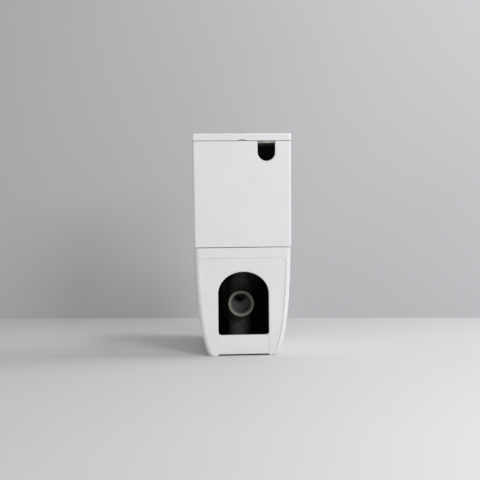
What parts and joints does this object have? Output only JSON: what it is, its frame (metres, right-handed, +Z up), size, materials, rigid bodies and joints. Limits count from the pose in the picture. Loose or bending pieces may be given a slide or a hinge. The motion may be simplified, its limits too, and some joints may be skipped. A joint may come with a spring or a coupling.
{
  "type": "rimless close-coupled toilet",
  "caption": "Close-coupled toilet with a rimless bowl, a skirted pan against the wall, a cistern with a dual push button, and a hinged seat and cover.",
  "frame": {"origin": "on the floor, in the middle of the outline between the wall face and the front of the seat", "axes": "+Z up, +Y towards the wall behind the toilet, -Y towards the user, +X to the left of a seated user"},
  "size_m": [0.375, 0.65, 0.852],
  "materials": {
    "ceramic": "gloss white glaze, bare clay where pieces stand in the kiln",
    "seat_plastic": "gloss",
    "chrome": "polished",
    "steel": "satin",
    "brass": "satin",
    "zinc": "dull plating",
    "rubber": "matte",
    "seal": "matte",
    "white_plastic": "satin",
    "grey_plastic": "satin",
    "blue_plastic": "satin",
    "dark_plastic": "satin"
  },
  "bodies": {
    "toilet": {"pan": "ceramic", "bowl": "ceramic", "trapway": "ceramic", "cistern": "ceramic", "cistern_lid": "ceramic", "screw_caps": "seat_plastic", "button_bezel": "chrome", "hinge_posts": "chrome", "hinge_pins": "chrome", "full_flush_spring": "steel", "half_flush_spring": "steel", "cistern_bolt_washers": "steel", "hinge_bolts": "steel", "bracket_screws": "steel", "cistern_bolts": "brass", "cistern_wing_nuts": "zinc", "doughnut_gasket": "rubber", "cistern_bolt_seals": "rubber", "flush_valve_washer": "rubber", "fill_valve_washer": "rubber", "hinge_bushes": "rubber", "flush_valve_body": "white_plastic", "fill_valve_body": "white_plastic", "button_nut": "grey_plastic", "flush_valve_nut": "grey_plastic", "fill_valve_nut": "grey_plastic", "fill_valve_cap": "grey_plastic", "hinge_nuts": "grey_plastic", "floor_brackets": "grey_plastic", "flush_valve_head": "blue_plastic"},
    "seat_ring": {"seat_ring": "seat_plastic", "ring_buffers": "grey_plastic"},
    "seat_cover": {"seat_cover": "seat_plastic", "cover_buffers": "grey_plastic"},
    "full_button": {"full_flush_button": "chrome"},
    "half_button": {"half_flush_button": "chrome"},
    "overflow": {"overflow_tube": "white_plastic", "flush_seal": "seal", "flush_float": "blue_plastic"},
    "full_paddle": {"full_flush_paddle": "grey_plastic"},
    "half_paddle": {"half_flush_paddle": "grey_plastic"},
    "float": {"fill_float": "white_plastic", "fill_float_link": "dark_plastic"},
    "float_arm": {"fill_float_arm": "dark_plastic"}
  },
  "joints": [
    {"name": "ring_hinge", "type": "hinge", "parent": "toilet", "child": "seat_ring", "pos_m": [0, 0.098, 0.424], "axis": [-1, 0, 0], "range_deg": [0, 92]},
    {"name": "cover_hinge", "type": "hinge", "parent": "seat_ring", "child": "seat_cover", "pos_m": [0, 0.098, 0.424], "axis": [1, 0, 0], "range_deg": [-92, 0]},
    {"name": "full_button_press", "type": "slide", "parent": "toilet", "child": "full_button", "axis": [0, 0, -1], "range_m": [0, 0.008], "stiffness_N_per_m": 200, "springref_m": -0.015, "deforming": ["full_flush_spring"]},
    {"name": "half_button_press", "type": "slide", "parent": "toilet", "child": "half_button", "axis": [0, 0, -1], "range_m": [0, 0.008], "stiffness_N_per_m": 200, "springref_m": -0.015, "deforming": ["half_flush_spring"]},
    {"name": "overflow_lift", "type": "slide", "parent": "toilet", "child": "overflow", "axis": [0, 0, 1], "range_m": [0, 0.02]},
    {"name": "full_paddle_pivot", "type": "hinge", "parent": "toilet", "child": "full_paddle", "pos_m": [-0.03, 0.245, 0.735], "axis": [0, 1, 0], "range_deg": [0, 34.1]},
    {"name": "half_paddle_pivot", "type": "hinge", "parent": "toilet", "child": "half_paddle", "pos_m": [0.03, 0.245, 0.735], "axis": [0, -1, 0], "range_deg": [0, 34.1]},
    {"name": "float_rise", "type": "slide", "parent": "toilet", "child": "float", "axis": [0, 0, 1], "range_m": [0, 0.025]},
    {"name": "float_arm_pivot", "type": "hinge", "parent": "toilet", "child": "float_arm", "pos_m": [0.144, 0.228, 0.744], "axis": [0, 1, 0], "range_deg": [0, 57.5]}
  ],
  "couplings": [
    {"joint": "overflow_lift", "follows": "full_button_press", "ratio": 2.5},
    {"joint": "full_paddle_pivot", "follows": "full_button_press", "rad_per_m": 74.177},
    {"joint": "half_paddle_pivot", "follows": "half_button_press", "rad_per_m": 74.177},
    {"joint": "float_arm_pivot", "follows": "float_rise", "rad_per_m": 40.073}
  ]
}
